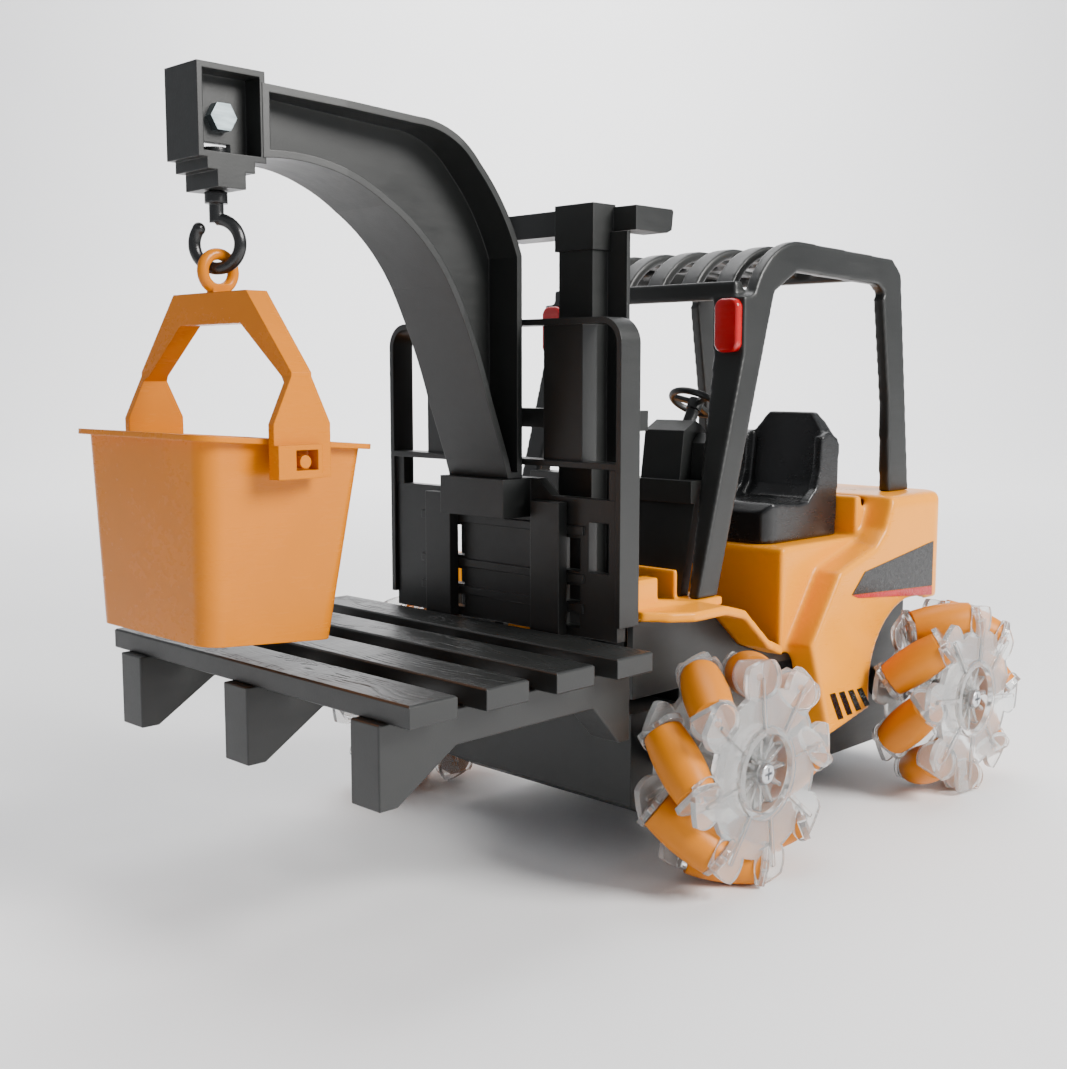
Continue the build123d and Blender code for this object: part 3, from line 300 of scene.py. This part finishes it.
def prism(work, outline, y_low, y_high):
    """A closed prism along Y from an outline of X, Z points in millimetres."""
    ends = [[work.verts.new((x * MM, y * MM, z * MM)) for x, z in outline] for y in (y_low, y_high)]
    work.faces.new(ends[0])
    work.faces.new(list(reversed(ends[1])))
    count = len(outline)
    for k in range(count):
        work.faces.new((ends[0][k], ends[1][k], ends[1][(k + 1) % count], ends[0][(k + 1) % count]))


# Wood-pattern pallet in millimetres: engraved grain on each plank, bevelled stringers below.
PLANKS = ((44.8, 61.0), (71.2, 87.0), (98.2, 114.3), (124.8, 141.4))
STRINGERS = ((-66.7, -54.6), (-6.05, 6.05), (54.6, 66.7))
PLANK_HALF = 75.7
PLANK_TOP = 81.6
PLANK_BOTTOM = 75.3
PLANK_COLUMNS = 54
PLANK_ROWS = 190
GRAIN_DEPTH = 0.34
GRAIN_PITCH = 1.55
KNOTS_PER_PLANK = 2
KNOT_SIZE = (3.6, 13.0)
CHAMFER = 0.5
FOOT_CHAMFER = 0.3
STRINGER_BEVEL = 0.45


def grain(x, y, plank):
    """How deep the moulded grain is cut at a point of a plank's top, 0 to 1."""
    spot = Vector((x * 0.055 + plank * 9.1, y * 0.018, plank * 3.7))
    drift = 5.2 * noise.noise(spot) + 1.1 * noise.noise(spot * 3.3)
    knots = 0.0
    for k in range(KNOTS_PER_PLANK):
        kx = 5.0 + 5.5 * noise.cell(Vector((plank * 2.3 + k, 1.5, 0)))
        ky = -46 + 92 * noise.cell(Vector((plank * 5.9 + k * 3.1, 7.5, 2)))
        knots += 2.6 * math.exp(-(((x - kx) / KNOT_SIZE[0]) ** 2 + ((y - ky) / KNOT_SIZE[1]) ** 2))
    line = math.sin(math.pi * (x / GRAIN_PITCH + drift + knots))
    groove = max(0.0, 1 - abs(line) * 2.4)
    fade = 0.45 + 0.55 * noise.cell(Vector((math.floor(y / 19), plank, math.floor(x / 3))))
    return groove * fade + 0.16 * max(0.0, noise.noise(Vector((x * 2.2, y * 0.25, plank))))


def plank_mesh(work, x_low, x_high, plank):
    """One plank: a fine engraved top inside a chamfered box."""
    width = x_high - x_low - 2 * CHAMFER
    length = 2 * (PLANK_HALF - CHAMFER)
    top = []
    for j in range(PLANK_ROWS + 1):
        y = -PLANK_HALF + CHAMFER + length * j / PLANK_ROWS
        line = []
        for i in range(PLANK_COLUMNS + 1):
            x = CHAMFER + width * i / PLANK_COLUMNS
            edge = i in (0, PLANK_COLUMNS) or j in (0, PLANK_ROWS)
            drop = 0.0 if edge else GRAIN_DEPTH * grain(x, y, plank)
            line.append(work.verts.new(((x_low + x) * MM, y * MM, (PLANK_TOP - drop) * MM)))
        top.append(line)
    for low, high in zip(top, top[1:]):
        for i in range(PLANK_COLUMNS):
            work.faces.new((low[i], low[i + 1], high[i + 1], high[i])).smooth = True
    rim = top[0] + [line[-1] for line in top[1:]] + list(reversed(top[-1][:-1]))
    rim += [line[0] for line in reversed(top[1:-1])]

    def ring(grow, z):
        """The rim again, grown outwards and set at a height."""
        made = []
        for vert in rim:
            x, y = vert.co.x / MM, vert.co.y / MM
            x += grow * ((x > x_high - CHAMFER - 0.01) - (x < x_low + CHAMFER + 0.01))
            y += grow * ((y > PLANK_HALF - CHAMFER - 0.01) - (y < -PLANK_HALF + CHAMFER + 0.01))
            made.append(work.verts.new((x * MM, y * MM, z * MM)))
        return made

    loops = [rim, ring(CHAMFER, PLANK_TOP - CHAMFER), ring(CHAMFER, PLANK_BOTTOM + FOOT_CHAMFER),
             ring(CHAMFER - FOOT_CHAMFER, PLANK_BOTTOM)]
    for upper, lower in zip(loops, loops[1:]):
        for k in range(len(rim)):
            work.faces.new((upper[k], upper[(k + 1) % len(rim)], lower[(k + 1) % len(rim)], lower[k]))
    work.faces.new(loops[-1])


planks = bmesh.new()
for index, (x_low, x_high) in enumerate(PLANKS):
    plank_mesh(planks, x_low, x_high, index)
new_piece("pallet_planks", planks, black_mat, "pallet", ("pallet",), 35)

stringers = bmesh.new()
LEG = ((44.8, 75.35), (44.8, 52.2), (49.6, 52.2), (61.7, 65.0), (117.0, 65.0), (138.0, 52.0), (144.2, 52.0),
       (144.2, 75.35))
for y_low, y_high in STRINGERS:
    prism(stringers, LEG, y_low, y_high)
pallet_stringers = new_piece("pallet_stringers", stringers, black_mat, "pallet")
edges = pallet_stringers.modifiers.new("edges", "BEVEL")
edges.width = STRINGER_BEVEL * MM
edges.segments = 3
edges.limit_method = "ANGLE"


def softened(node_name, voxel, passes, material):
    """A moulding with rounded edges: the CAD solid remeshed and smoothed."""
    source = NODES[node_name]
    work = bmesh.new()
    work.from_mesh(source.data)
    bmesh.ops.remove_doubles(work, verts=work.verts, dist=1e-6)
    piece = new_piece(node_name + "_moulding", work, material, source["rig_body"],
                      (node_name,))
    remesh = piece.modifiers.new("remesh", "REMESH")
    remesh.mode = "VOXEL"
    remesh.voxel_size = voxel
    remesh.use_smooth_shade = True
    smooth = piece.modifiers.new("smooth", "SMOOTH")
    smooth.factor = 0.5
    smooth.iterations = passes
    return piece


softened("seat", 0.0006, 5, seat_mat)
softened("body_shell", 0.0008, 14, body_mat)
softened("front_cowl", 0.0007, 8, body_mat)
softened("overhead_guard", 0.0008, 8, black_mat)


# ---- stage, lights, camera ----------------------------------------------------
def stage_floor():
    """A pale sweep: flat floor that curves up far behind the machine."""
    bend = [math.radians(7.5 * k) for k in range(13)]
    steps = [(SWEEP_NEAR, 0.0)]
    steps += [(SWEEP_BEND - SWEEP_RADIUS * math.sin(a), SWEEP_RADIUS - SWEEP_RADIUS * math.cos(a))
              for a in bend]
    steps += [(SWEEP_BEND - SWEEP_RADIUS, SWEEP_TOP)]
    mesh = bpy.data.meshes.new("sweep")
    work = bmesh.new()
    across = Vector(SWEEP_ACROSS).normalized()
    ahead = Vector(SWEEP_AHEAD).normalized()
    sides = (-SWEEP_HALF_WIDTH, SWEEP_HALF_WIDTH)
    rows = [[work.verts.new(ahead * d + across * s + Vector((0, 0, h))) for s in sides] for d, h in steps]
    for low, high in zip(rows, rows[1:]):
        work.faces.new((low[0], low[1], high[1], high[0])).smooth = True
    work.to_mesh(mesh)
    work.free()
    floor = bpy.data.objects.new("sweep", mesh)
    bpy.context.scene.collection.objects.link(floor)
    look = Look("pale_paper")
    look.colour(look.noise(1.3, 2), ((0.3, (0.86, 0.86, 0.87)), (0.7, (0.90, 0.90, 0.90))))
    look.rough(look.noise(5, 2), 0.60, 0.75)
    mesh.materials.append(look.done())


def area_light(name, at, size, power, colour=(1, 1, 1), aim=(0, 0, 0.1)):
    """A round soft light at a place, turned to its aim."""
    data = bpy.data.lights.new(name, "AREA")
    data.shape = "DISK"
    data.size = size
    data.energy = power
    data.color = colour
    light = bpy.data.objects.new(name, data)
    light.location = at
    light.rotation_mode = "QUATERNION"
    light.rotation_quaternion = (Vector(at) - Vector(aim)).to_track_quat("Z", "Y")
    bpy.context.scene.collection.objects.link(light)


stage_floor()
area_light("key", (-0.45, 1.6, 1.1), 0.9, 72, (1.0, 0.985, 0.96))
area_light("overhead", (-0.3, -0.5, 1.9), 1.6, 30)
area_light("backdrop", (-0.9, -0.9, 1.7), 1.2, 70, aim=(-2.3, -2.3, 0.7))

world = bpy.data.worlds.new("soft_sky")
world.use_nodes = True
world.node_tree.nodes["Background"].inputs[0].default_value = SKY_COLOUR
world.node_tree.nodes["Background"].inputs[1].default_value = SKY_STRENGTH
bpy.context.scene.world = world

camera_data = bpy.data.cameras.new("camera")
camera_data.lens = LENS
camera_data.sensor_width = SENSOR
camera_data.clip_start = 0.01
camera_data.clip_end = 50
camera = bpy.data.objects.new("camera", camera_data)
camera.location = CAMERA_AT
camera.rotation_mode = "QUATERNION"
camera.rotation_quaternion = Vector(CAMERA_AHEAD).to_track_quat("-Z", "Y")
bpy.context.scene.collection.objects.link(camera)
bpy.context.scene.camera = camera
